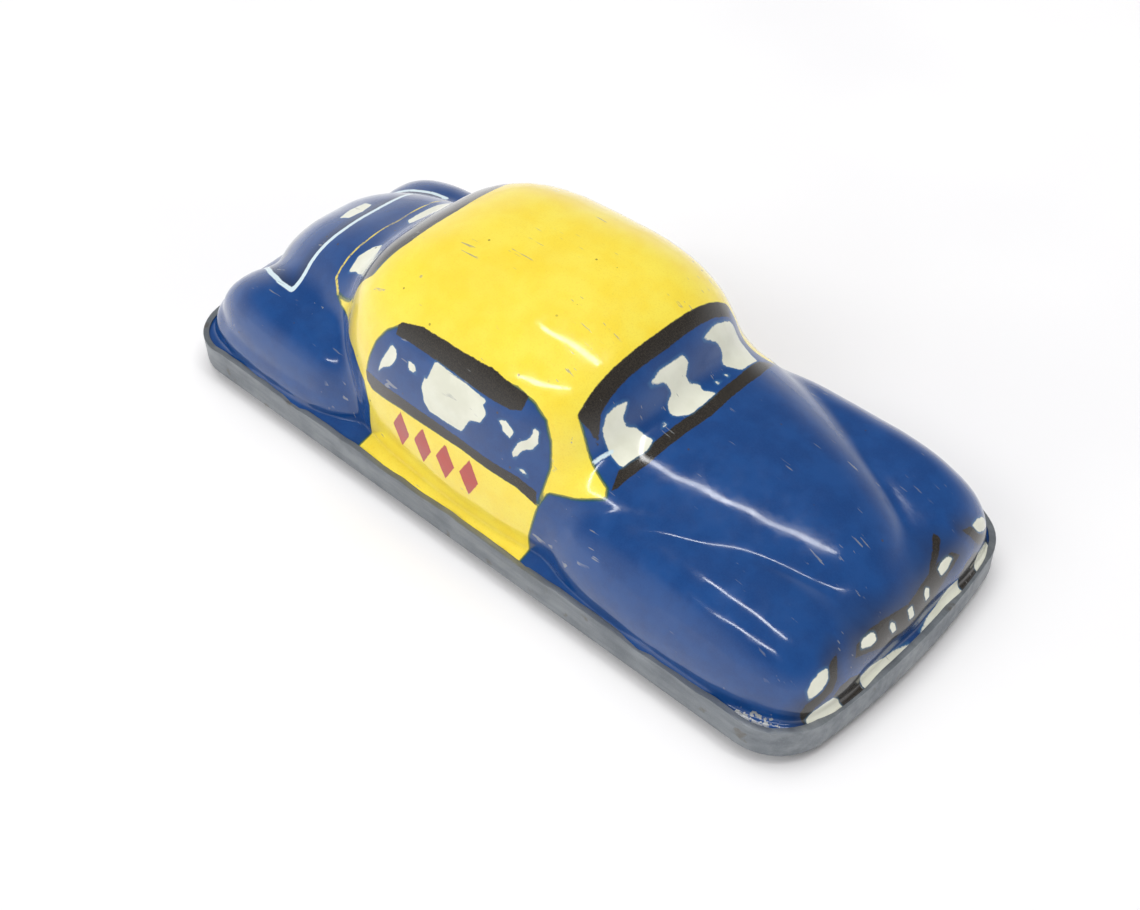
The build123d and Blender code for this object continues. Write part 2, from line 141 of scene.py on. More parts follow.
def plan_outline(inset):
    """The rim's plan outline moved in by inset, from the front, anticlockwise."""
    half_width = WIDTH / 2 - inset
    front = quarter_outline(LENGTH / 2 - inset, half_width, FRONT_BOW, FRONT_CORNER - inset)
    rear = quarter_outline(LENGTH / 2 - inset, half_width, REAR_BOW, REAR_CORNER - inset)
    side = [(x, half_width)
            for x in np.linspace(front[-1][0], -rear[-1][0], SIDE_POINTS)[1:-1]]
    left = front + side + [(-x, y) for x, y in reversed(rear)]
    return np.array(left + [(x, -y) for x, y in reversed(left[1:-1])])


def grid_plan(columns, rows):
    """Where a grid's lines cross sill height: a rectangle eased into the flange outline."""
    half_length, half_width = LENGTH / 2 - FLANGE_INSET, WIDTH / 2 - FLANGE_INSET
    steps = np.linspace(-1, 1, columns + 1), np.linspace(-1, 1, rows + 1)
    a, b = np.meshgrid(*steps, indexing="ij")
    x, y = a * half_length, b * half_width
    outline = plan_outline(FLANGE_INSET)
    angles = np.arctan2(outline[:, 1], outline[:, 0]) % (2 * pi)
    order = np.argsort(angles)
    reach = np.interp(np.arctan2(y, x) % (2 * pi), angles[order],
                      np.linalg.norm(outline, axis=1)[order], period=2 * pi)
    square = np.maximum(np.abs(a), np.abs(b))
    edge_reach = np.hypot(x, y) / np.maximum(square, 1e-9)
    ease = 1 + (reach / np.maximum(edge_reach, 1e-9) - 1) * square ** 8
    return x * ease, y * ease


def skin_normals(points):
    """Unit outward normals of the skin at points on it."""
    step = 0.01
    slopes = [skin_gap(points + step * axis) - skin_gap(points - step * axis)
              for axis in np.eye(3)]
    normals = np.stack(slopes, -1)
    return normals / np.linalg.norm(normals, axis=-1, keepdims=True)


def skin_points(columns, rows, inset):
    """Points of the skin over a grid, moved in by inset along their own rays."""
    x, y = grid_plan(columns, rows)
    starts = np.stack([SPINE_SHARE * x, 0 * x, SPINE_Z + 0 * x], -1)
    rays = np.stack([x, y, FLANGE_TOP_Z + 0 * x], -1) - starts
    inside = np.full(x.shape, RAY_SHARES[0])
    outside = np.full(x.shape, RAY_SHARES[1])
    for _ in range(HALVINGS):
        middle = (inside + outside) / 2
        is_inside = skin_gap(starts + rays * middle[..., None]) < 0
        inside = np.where(is_inside, middle, inside)
        outside = np.where(is_inside, outside, middle)
    points = starts + rays * inside[..., None]
    if not inset:
        return points
    directions = rays / np.linalg.norm(rays, axis=-1, keepdims=True)
    slant = (directions * skin_normals(points)).sum(-1, keepdims=True)
    return points - directions * inset / np.maximum(slant, LEAST_SLANT)


def hand_wobble(points):
    """Slow unevenness of hand-pressed tin, in millimetres."""
    x, y, z = points[..., 0], points[..., 1], points[..., 2]
    return (0.035 * np.sin(0.31 * x + 0.53 * y + 1.1) * np.sin(0.23 * x - 0.37 * y + 0.41 * z)
            + 0.02 * np.sin(0.83 * x + 0.4 * y) * np.sin(0.71 * y - 0.5 * x + 0.6 * z))


def pressed(points):
    """The skin with its dents and unevenness, which fade out at the flange."""
    normals = skin_normals(points)
    depth = hand_wobble(points)
    for place, radius, dent in DENTS:
        away = ((points - np.array(place)) ** 2).sum(-1)
        depth = depth + dent * np.exp(-away / radius ** 2)
    fade = np.clip((points[..., 2] - FLANGE_TOP_Z - 0.3) / 1.5, 0, 1)
    return points - normals * (depth * fade)[..., None]


# ---- the printed decoration, with one painted highlight and one painted shade line ---
# Every outline is in millimetres. Sides are drawn in (x, z), windows on the slopes and
# the boot in plan (x, y), the nose in (distance from the middle, z).
PRINT_X = -1.1                 # where the drawings' own x = 0 falls on the car
SIDE_FROM_Y = 8                # side drawings print only this far out from the middle
NOSE_FROM_X = 36               # nose drawings print only ahead of this
NOT_HERE = -50.0               # added to a distance where its drawing doesn't print


def segment_distance(u, v, start, end):
    """Distance of points (u, v) to a straight segment."""
    along_u, along_v = end[0] - start[0], end[1] - start[1]
    share = (u - start[0]) * along_u + (v - start[1]) * along_v
    share = np.clip(share / (along_u ** 2 + along_v ** 2), 0, 1)
    return np.hypot(u - start[0] - share * along_u, v - start[1] - share * along_v)


def inside_distance(u, v, outline):
    """Signed distance of points (u, v) to a closed outline, positive inside."""
    nearest = np.full(u.shape, np.inf)
    inside = np.zeros(u.shape, bool)
    for (u0, v0), (u1, v1) in zip(outline, outline[1:] + outline[:1]):
        nearest = np.minimum(nearest, segment_distance(u, v, (u0, v0), (u1, v1)))
        if v0 != v1:
            inside ^= ((v0 > v) != (v1 > v)) & (u < (u1 - u0) * (v - v0) / (v1 - v0) + u0)
    return np.where(inside, nearest, -nearest)


def near_line(u, v, line, half_width):
    """Signed distance to an open line drawn with a pen, positive on the line."""
    segments = [segment_distance(u, v, start, end) for start, end in zip(line, line[1:])]
    return half_width - np.minimum.reduce(segments)


def any_of(*layers):
    """Where any of the layers prints."""
    return np.maximum.reduce(layers)


SIDE_WINDOW = [(-12.1, 12.2), (-12.2, 13.4), (-11.7, 15.2), (-10.8, 17.6), (-9.6, 19.3),
               (-8.1, 20.4), (-5.5, 21.0), (0.5, 21.2), (7.0, 20.9), (9.0, 20.2), (10.5, 19.0),
               (11.4, 17.2), (11.9, 14.6), (11.8, 12.6), (11.7, 10.8), (9.0, 11.7), (2.0, 12.5),
               (-6.6, 12.3), (-11.3, 11.7)]
SIDE_TOP_BAR = [(-8.4, 20.6), (-8.3, 19.5), (-5.9, 19.7), (0.1, 19.6), (7.0, 19.0), (8.2, 19.3),
                (8.3, 20.6), (4.0, 21.5), (-5.5, 21.4)]
SIDE_BELT = [(-12.4, 13.4), (-6.6, 13.7), (1.9, 13.5), (9.2, 12.7), (11.3, 12.0), (11.6, 10.6),
             (9.2, 11.6), (2.0, 12.4), (-6.6, 12.3), (-11.4, 11.7), (-12.2, 12.2)]
SIDE_PANES = [
    [(-8.5, 18.5), (-7.6, 18.2), (-7.5, 17.4), (-8.2, 16.3), (-9.3, 15.6), (-10.1, 14.6),
     (-9.7, 16.0), (-9.0, 17.4)],
    [(-5.9, 18.1), (-4.9, 18.1), (-4.5, 17.3), (-5.6, 17.3)],
    [(-2.5, 19.6), (1.9, 19.3), (4.4, 18.9), (4.2, 18.3), (4.8, 17.7), (4.3, 16.6), (3.0, 16.2),
     (2.1, 14.4), (-2.3, 14.3), (-3.1, 15.0), (-3.6, 16.4), (-3.4, 17.6), (-2.9, 17.6),
     (-2.8, 18.6)],
    [(6.1, 17.8), (7.0, 17.9), (8.0, 17.1), (7.7, 16.4), (6.9, 16.8), (6.7, 17.2)],
    [(9.7, 18.2), (10.2, 17.9), (10.4, 16.7), (10.0, 16.0), (9.2, 15.7), (8.4, 14.4),
     (8.1, 15.0), (8.6, 16.4), (9.4, 16.8), (9.7, 17.3)],
    [(8.8, 13.5), (9.5, 13.7), (10.1, 13.1)],
]
ROOF_AND_DOOR = [(-12.6, 2.0), (-12.3, 6.0), (-12.1, 9.0), (-12.9, 11.6), (-15.4, 13.6),
                 (-18.6, 14.0), (-21.4, 13.9), (-23.4, 14.6), (-23.8, 16.0), (-23.8, 40.0),
                 (12.8, 40.0), (12.7, 20.2), (17.8, 13.6), (15.1, 12.7), (12.4, 12.3),
                 (11.8, 10.8), (11.1, 6.6), (11.2, 2.0)]

SCREEN = [(12.7, -10.7), (12.7, 10.7), (15.3, 11.4), (17.7, 12.0), (18.9, 8.0), (19.5, 3.0),
          (19.6, 0.0), (19.5, -3.0), (18.9, -8.0), (17.7, -12.0), (15.3, -11.4)]
SCREEN_TOP_BAR = [(12.6, -10.9), (12.6, 10.9), (13.7, 9.8), (13.8, 5.0), (13.9, 0.0),
                  (13.8, -5.0), (13.9, -9.0), (14.8, -10.4), (13.9, -10.4)]
SCREEN_LOW_BAR = [(17.2, -10.3), (17.9, -6.0), (18.3, 0.0), (17.9, 6.0), (17.2, 10.3),
                  (17.9, 12.2), (19.0, 8.2), (19.7, 0.0), (19.0, -8.2), (17.9, -12.2)]
SCREEN_PANES = [
    [(14.5, -9.5), (14.3, -8.7), (14.4, -7.7), (14.8, -6.3), (15.2, -7.5), (15.6, -7.4),
     (16.0, -6.7), (16.5, -6.4), (16.9, -6.3), (17.7, -6.0), (18.0, -7.2), (17.3, -9.9),
     (15.7, -9.8)],
    [(15.0, -3.7), (14.7, -1.8), (14.8, 1.6), (15.3, 1.6), (15.8, 0.7), (16.2, 0.8), (16.6, 1.8),
     (17.1, 1.6), (17.6, 2.2), (18.1, 2.6), (18.2, 1.0), (18.2, -1.4), (17.6, -2.4),
     (17.1, -2.9), (16.4, -2.6), (16.0, -1.5), (15.4, -1.8)],
    [(14.7, 4.4), (14.2, 6.6), (14.0, 9.6), (15.5, 10.4), (17.1, 10.2), (17.5, 7.4), (17.3, 7.0),
     (16.8, 6.3), (16.3, 5.6), (15.8, 6.3), (15.3, 6.3), (15.0, 5.6)],
    [(17.5, -4.6), (17.2, -3.9), (17.5, -3.8)],
    [(17.1, 3.4), (17.4, 4.2), (17.5, 3.5)],
    [(17.0, 5.0), (17.3, 5.5), (17.4, 5.0)],
]
# painted highlight: a short white streak down the right windscreen pillar, drawn in plan (x, y)
SCREEN_GLINT = [(15.0, -11.3), (15.8, -9.5)]

REAR_WINDOW = [(-15.5, -10.4), (-14.2, -6.5), (-13.9, 0.0), (-14.2, 6.5), (-15.5, 10.4),
               (-19.0, 10.6), (-22.6, 9.9), (-27.0, 9.8), (-27.0, -9.8), (-22.6, -9.9),
               (-19.0, -10.6)]
REAR_TOP_BAR = [(-15.9, -10.6), (-14.1, -6.5), (-13.8, 0.0), (-14.1, 6.5), (-15.9, 10.6),
                (-18.6, 10.5), (-17.4, 6.5), (-17.3, 0.0), (-17.4, -6.5), (-18.6, -10.5)]
REAR_PANES = [
    [(-22.5, -8.2), (-21.6, -8.0), (-19.5, -8.7), (-19.3, -7.8), (-20.2, -6.2), (-21.3, -4.4),
     (-22.1, -4.8), (-22.8, -6.4)],
    [(-21.9, 0.0), (-21.5, 1.4), (-21.0, 4.2), (-20.0, 7.8), (-20.8, 8.5), (-22.4, 8.0),
     (-22.9, 5.0), (-22.8, 0.6)],
]
REAR_LINE = [(-22.6, -9.9), (-23.9, -8.9), (-24.0, -6.0), (-23.8, 0.0), (-24.0, 6.0),
             (-23.9, 8.9), (-22.6, 9.9)]
BOOT_LINE = [(-36.0, -9.4), (-33.8, -10.4), (-31.0, -11.2), (-28.8, -11.4), (-28.9, -8.3),
             (-28.5, -4.0), (-28.4, 0.0), (-28.5, 4.0), (-28.9, 8.3), (-28.8, 11.4),
             (-31.0, 11.2), (-33.8, 10.4), (-36.0, 9.4)]
BOOT_PANEL = BOOT_LINE + [(-36.5, 0.0)]
BOOT_LIGHT = [(-29.7, 0.0), (-30.1, 1.6), (-31.4, 1.9), (-31.9, 0.0), (-31.4, -1.9),
              (-30.1, -1.6)]

HEADLIGHT = [(11.3, 8.9), (11.7, 8.1), (12.6, 7.5), (13.9, 7.0), (13.8, 7.9), (13.2, 8.5),
             (12.2, 8.9)]
HEADLIGHT_EDGE = [(9.6, 9.4), (11.0, 9.0), (11.4, 8.6), (11.8, 7.8), (12.6, 7.2), (13.6, 6.9),
                  (14.2, 6.5), (14.6, 5.6), (14.5, 4.2), (14.0, 4.6), (13.4, 5.9), (12.4, 6.4),
                  (11.6, 6.7), (10.9, 7.5), (10.3, 8.6)]
GRILLE = [(0.0, 5.9), (1.7, 5.9), (4.0, 6.3), (6.1, 7.2), (8.2, 8.0), (7.4, 8.7), (5.1, 8.8),
          (3.3, 8.6), (1.3, 8.3), (0.0, 8.1)]
GRILLE_BLOCKS = [
    [(7.2, 8.2), (6.8, 8.6), (5.7, 8.6), (5.0, 8.4), (5.1, 7.7), (6.0, 7.7)],
    [(2.3, 6.8), (2.9, 6.9), (3.1, 7.7), (2.7, 8.0), (2.3, 7.6)],
    [(-0.35, 6.6), (0.35, 6.6), (0.35, 7.7), (-0.35, 7.7)],
]
# painted shade: a dark line up the prow, left of the middle only, standing in for the shadow where
# the nose meets the left fender, drawn in (y, z)
PROW_SHADE_LINE = [(3.6, 8.3), (4.6, 8.9), (6.0, 9.4), (6.9, 9.9)]
BUMPER_OUTER = [(10.5, 3.0), (10.8, 5.0), (11.4, 5.8), (12.5, 5.8), (13.6, 5.4), (14.2, 4.6),
                (14.4, 3.0)]
BUMPER_MIDDLE = [(0.9, 3.0), (0.9, 4.3), (4.0, 4.7), (6.0, 5.4), (7.7, 5.4), (7.7, 3.0)]
OVERRIDER = [(7.6, 3.0), (7.8, 5.9), (9.2, 6.6), (10.6, 6.6), (11.5, 5.9), (11.0, 5.0),
             (10.6, 3.0)]

EMBLEM_CENTRES = [-6.5, -3.2, 0.1, 3.4]    # four plain lozenges along each door
EMBLEM_Z = 9.6
EMBLEM_HALF = (1.3, 2.2)

# Half widths of the pen lines, of the painted highlight streak and of the painted shade line.
BOOT_PEN, SCREEN_GLINT_HALF_WIDTH, REAR_PEN, PROW_SHADE_HALF_WIDTH = 0.27, 0.14, 0.13, 0.25

# How fast the grey shading round a drawing fades, per millimetre, and its strength.
BOOT_FADE, GRILLE_FADE, LAMP_FADE = 0.55, 0.5, 0.8
GRILLE_SHADE, LAMP_SHADE = 0.8, 0.7

# Where the print is rubbed: the right front corner, and scuffs as place and radius.
WORN_CORNER, WORN_REACH, WORN_BELOW_Z = (39.0, -16.5), 4.0, 5.6
SCUFFS = [((13.6, -14.6, 11.4), 1.5), ((-18.5, -15.8, 8.6), 1.6), ((-25.5, -11.4, 12.4), 2.0),
          ((29.0, -1.0, 13.8), 1.5), ((12.5, -12.9, 12.6), 1.2)]
SCUFF_WEAR, SILL_WEAR = 0.62, 0.35


def printed_layers(points):
    """Each ink's signed distance, in millimetres, to its edge, and amounts of shade and wear; the
    white layer also carries a painted highlight streak and the black one a painted shade line.
    """
    x, y, z = points[..., 0] - PRINT_X, points[..., 1], points[..., 2]
    across = np.abs(y)
    on_side = np.where(across > SIDE_FROM_Y, 0.0, NOT_HERE)
    on_nose = np.where(x > NOSE_FROM_X, 0.0, NOT_HERE)

    def side(outline):
        return inside_distance(x, z, outline) + on_side

    def nose(outline):
        return inside_distance(across, z, outline) + on_nose

    def plan(outline):
        return inside_distance(x, y, outline)

    # the roof and door colour stops short of every window
    yellow = np.minimum.reduce([inside_distance(x, z, ROOF_AND_DOOR), -side(SIDE_WINDOW),
                                -plan(SCREEN), -plan(REAR_WINDOW)])
    cream = any_of(*map(side, SIDE_PANES), *map(plan, SCREEN_PANES + REAR_PANES + [BOOT_LIGHT]),
                   *map(nose, [HEADLIGHT, BUMPER_OUTER, BUMPER_MIDDLE] + GRILLE_BLOCKS))
    # black ink, with a painted shade line up the left of the prow
    black = any_of(*map(side, [SIDE_TOP_BAR, SIDE_BELT]),
                   *map(plan, [SCREEN_TOP_BAR, SCREEN_LOW_BAR, REAR_TOP_BAR]),
                   *map(nose, [GRILLE, OVERRIDER, HEADLIGHT_EDGE]),
                   near_line(y, z, PROW_SHADE_LINE, PROW_SHADE_HALF_WIDTH) + on_nose)
    # white ink for the boot outline, with a painted highlight streak on the right windscreen
    # pillar
    white = any_of(near_line(x, y, BOOT_LINE, BOOT_PEN),
                   near_line(x, y, SCREEN_GLINT, SCREEN_GLINT_HALF_WIDTH))
    fine_line = near_line(x, y, REAR_LINE, REAR_PEN)
    half_x, half_z = EMBLEM_HALF
    lozenges = [1 - (np.abs(x - centre) / half_x + np.abs(z - EMBLEM_Z) / half_z)
                for centre in EMBLEM_CENTRES]
    red = np.where(across > SIDE_FROM_Y, any_of(*lozenges), -1.0)

    boot_shade = (plan(BOOT_LINE) > 0) * np.clip(1 - BOOT_FADE * plan(BOOT_PANEL), 0, 1)
    grille_shade = np.clip(1 + GRILLE_FADE * nose(GRILLE), 0, 1)
    lamp_shade = np.clip(1 + LAMP_FADE * nose(HEADLIGHT_EDGE), 0, 1)
    shade = any_of(boot_shade, GRILLE_SHADE * grille_shade, LAMP_SHADE * lamp_shade)

    corner_away = (x - WORN_CORNER[0]) ** 2 + (y - WORN_CORNER[1]) ** 2
    wear = np.exp(-corner_away / WORN_REACH ** 2) * np.clip((WORN_BELOW_Z - z) / 1.2, 0, 1)
    for place, radius in SCUFFS:
        away = ((points - np.array(place)) ** 2).sum(-1)
        wear = wear + SCUFF_WEAR * np.exp(-away / radius ** 2)
    wear = np.maximum(wear, SILL_WEAR * np.clip((6.0 - z) / 1.5, 0, 1))
    return {"yellow": yellow, "cream": cream, "black": black, "white": white,
            "fine_line": fine_line, "red": red, "shade": shade, "wear": wear}


# ---- meshes --------------------------------------------------------------------------
NOT_INKS = ("wear", "shade", "outside")    # layers that are amounts and not ink distances
BARE = -9.0                    # ink distance given to the unprinted inside of the body
RIM_CUTS = 60                  # cross cuts that let the pan's rim waver along its length
RIM_FOOT_Z, RIM_RUN = 1.6, 2.0    # the waver starts at this level and grows over this height
RIM_SETTLE, RIM_RISE = 0.05, 0.12    # mean drop of the rim, and the most that it may rise
ROLLED_EDGE = 0.12             # width of the softened edges


def link(piece):
    """Put an object in the scene."""
    bpy.context.scene.collection.objects.link(piece)
    return piece


def smooth(mesh):
    """Shade a mesh smoothly."""
    mesh.polygons.foreach_set("use_smooth", [True] * len(mesh.polygons))
    mesh.update()


def quad_faces(columns, rows, first, flip):
    """Faces of a (columns + 1) x (rows + 1) grid of vertices."""
    faces = []
    for i in range(columns):
        for j in range(rows):
            a = first + i * (rows + 1) + j
            face = (a, a + rows + 1, a + rows + 2, a + 1)
            faces.append(face[::-1] if flip else face)
    return faces


def border(columns, rows):
    """Grid positions round the edge of a grid, in order."""
    path = [(i, 0) for i in range(columns)] + [(columns, j) for j in range(rows)]
    return path + [(i, rows) for i in range(columns, 0, -1)] + [(0, j) for j in range(rows, 0, -1)]


def body_pressing():
    """The printed body: a fine outer skin and a plainer inner one, joined round the flange."""
    columns, rows = CELLS
    outer = skin_points(columns, rows, 0)
    layers = printed_layers(outer)
    outer = pressed(outer)
    inner_columns, inner_rows = columns // INNER_STEP, rows // INNER_STEP
    inner = skin_points(inner_columns, inner_rows, TIN)
    inner_first = (columns + 1) * (rows + 1)
    faces = quad_faces(columns, rows, 0, False)
    faces += quad_faces(inner_columns, inner_rows, inner_first, True)
    outer_path = [i * (rows + 1) + j for i, j in border(columns, rows)]
    inner_path = [inner_first + i * (inner_rows + 1) + j
                  for i, j in border(inner_columns, inner_rows)]
    for k, low in enumerate(inner_path):
        start = k * INNER_STEP
        run = [outer_path[(start + s) % len(outer_path)] for s in range(INNER_STEP + 1)]
        faces.append(tuple(run[::-1]) + (low, inner_path[(k + 1) % len(inner_path)]))
    points = np.concatenate([outer.reshape(-1, 3), inner.reshape(-1, 3)])
    mesh = bpy.data.meshes.new("litho_body")
    mesh.from_pydata((points * MM).tolist(), [], faces)
    layers["outside"] = np.ones(inner_first)
    for name, values in layers.items():
        inside = np.full(len(points) - inner_first, 0.0 if name in NOT_INKS else BARE)
        attribute = mesh.attributes.new(name, "FLOAT", "POINT")
        both = np.concatenate([values.ravel(), inside])
        attribute.data.foreach_set("value", both.astype(np.float32))
    smooth(mesh)
    return link(bpy.data.objects.new("litho_body", mesh))


def rolled_pan():
    """The base pan with its slots, its rim rolled over softly and a little uneven."""
    mesh = frame["nodes"]["base_pan"].data.copy()
    mesh.name = "rolled_pan"
    work = bmesh.new()
    work.from_mesh(mesh)
    bmesh.ops.remove_doubles(work, verts=work.verts, dist=1e-6)
    for cut in np.linspace(-LENGTH / 2 + 1, LENGTH / 2 - 1, RIM_CUTS):
        geometry = work.verts[:] + work.edges[:] + work.faces[:]
        bmesh.ops.bisect_plane(work, geom=geometry, dist=1e-6,
                               plane_co=(cut * MM, 0, 0), plane_no=(1, 0, 0))
    for vertex in work.verts:
        x, y, z = (c / MM for c in vertex.co)
        high = min(max((z - RIM_FOOT_Z) / RIM_RUN, 0), 1)
        dip = 0.10 * sin(0.37 * x + 0.9) + 0.07 * sin(0.91 * x + 0.3 * y) + 0.05 * sin(1.7 * x)
        lifted = vertex.co.z + high * (dip - RIM_SETTLE) * MM
        vertex.co.z = min(lifted, pan_high.z + RIM_RISE * MM)
        sway = 0.06 * sin(0.53 * x + 2.0) * high
        vertex.co.y -= (1 if y > 0 else -1) * abs(sway) * MM
    work.to_mesh(mesh)
    work.free()
    smooth(mesh)
    piece = link(bpy.data.objects.new("rolled_pan", mesh))
    soften = piece.modifiers.new("rolled_edges", "BEVEL")
    soften.width = ROLLED_EDGE * MM
    soften.segments = 2
    soften.limit_method = "ANGLE"
    soften.angle_limit = radians(50)
    return piece


# ---- materials ------------------------------------------------------------------------
def ink(red, green, blue):
    """Colour from 0-255 display values."""
    shares = [c / 255 for c in (red, green, blue)]
    linear = [c / 12.92 if c < 0.04045 else ((c + 0.055) / 1.055) ** 2.4 for c in shares]
    return (*linear, 1.0)


class Finish:
    """One material, with short calls for its nodes."""

    def __init__(self, name):
        self.material = bpy.data.materials.new(name)
        self.material.use_nodes = True
        self.nodes = self.material.node_tree.nodes
        self.links = self.material.node_tree.links
        self.surface = self.nodes["Principled BSDF"]
        self.place = self.nodes.new("ShaderNodeTexCoord").outputs["Object"]

    def set(self, node, key, value):
        socket = node.inputs[key]
        if isinstance(value, bpy.types.NodeSocket):
            self.links.new(value, socket)
        else:
            socket.default_value = value

    def noise(self, size_mm, detail=3.0, roughness=0.55, stretch=(1, 1, 1), shift=0.0):
        mapping = self.nodes.new("ShaderNodeMapping")
        self.set(mapping, "Vector", self.place)
        self.set(mapping, "Scale", stretch)
        self.set(mapping, "Location", (shift, shift * 0.7, -shift))
        node = self.nodes.new("ShaderNodeTexNoise")
        self.set(node, "Vector", mapping.outputs[0])
        self.set(node, "Scale", 1 / (size_mm * MM))
        self.set(node, "Detail", detail)
        self.set(node, "Roughness", roughness)
        return node.outputs["Fac"]

    def cells(self, size_mm, shift=0.0):
        mapping = self.nodes.new("ShaderNodeMapping")
        self.set(mapping, "Vector", self.place)
        self.set(mapping, "Location", (shift, -shift, shift * 0.5))
        node = self.nodes.new("ShaderNodeTexVoronoi")
        self.set(node, "Vector", mapping.outputs[0])
        self.set(node, "Scale", 1 / (size_mm * MM))
        return node.outputs["Distance"]

    def ramp(self, value, low, high, out_low=0.0, out_high=1.0):
        node = self.nodes.new("ShaderNodeMapRange")
        node.interpolation_type = "SMOOTHSTEP"
        self.set(node, "Value", value)
        self.set(node, "From Min", low)
        self.set(node, "From Max", high)
        self.set(node, "To Min", out_low)
        self.set(node, "To Max", out_high)
        return node.outputs["Result"]

    def math(self, operation, first, second=0.0, third=None):
        node = self.nodes.new("ShaderNodeMath")
        node.operation = operation
        for index, value in enumerate((first, second, third)):
            if value is not None:
                self.set(node, index, value)
        return node.outputs[0]

    def sway(self, value, amount):
        """A 0 to 1 value moved to swing either side of zero, and scaled."""
        return self.math("MULTIPLY", self.math("SUBTRACT", value, 0.5), amount)

    def mix(self, share, under, over):
        node = self.nodes.new("ShaderNodeMix")
        node.data_type = "RGBA"
        self.set(node, 0, share)
        self.set(node, 6, under)
        self.set(node, 7, over)
        return node.outputs[2]

    def attribute(self, name):
        node = self.nodes.new("ShaderNodeAttribute")
        node.attribute_name = name
        return node.outputs["Fac"]

    def bump(self, height, distance_mm, strength=1.0, below=None):
        node = self.nodes.new("ShaderNodeBump")
        self.set(node, "Height", height)
        self.set(node, "Distance", distance_mm * MM)
        self.set(node, "Strength", strength)
        if below is not None:
            self.set(node, "Normal", below)
        return node.outputs["Normal"]

    def paint(self, **inputs):
        for key, value in inputs.items():
            self.set(self.surface, key.replace("_", " "), value)
        return self.material


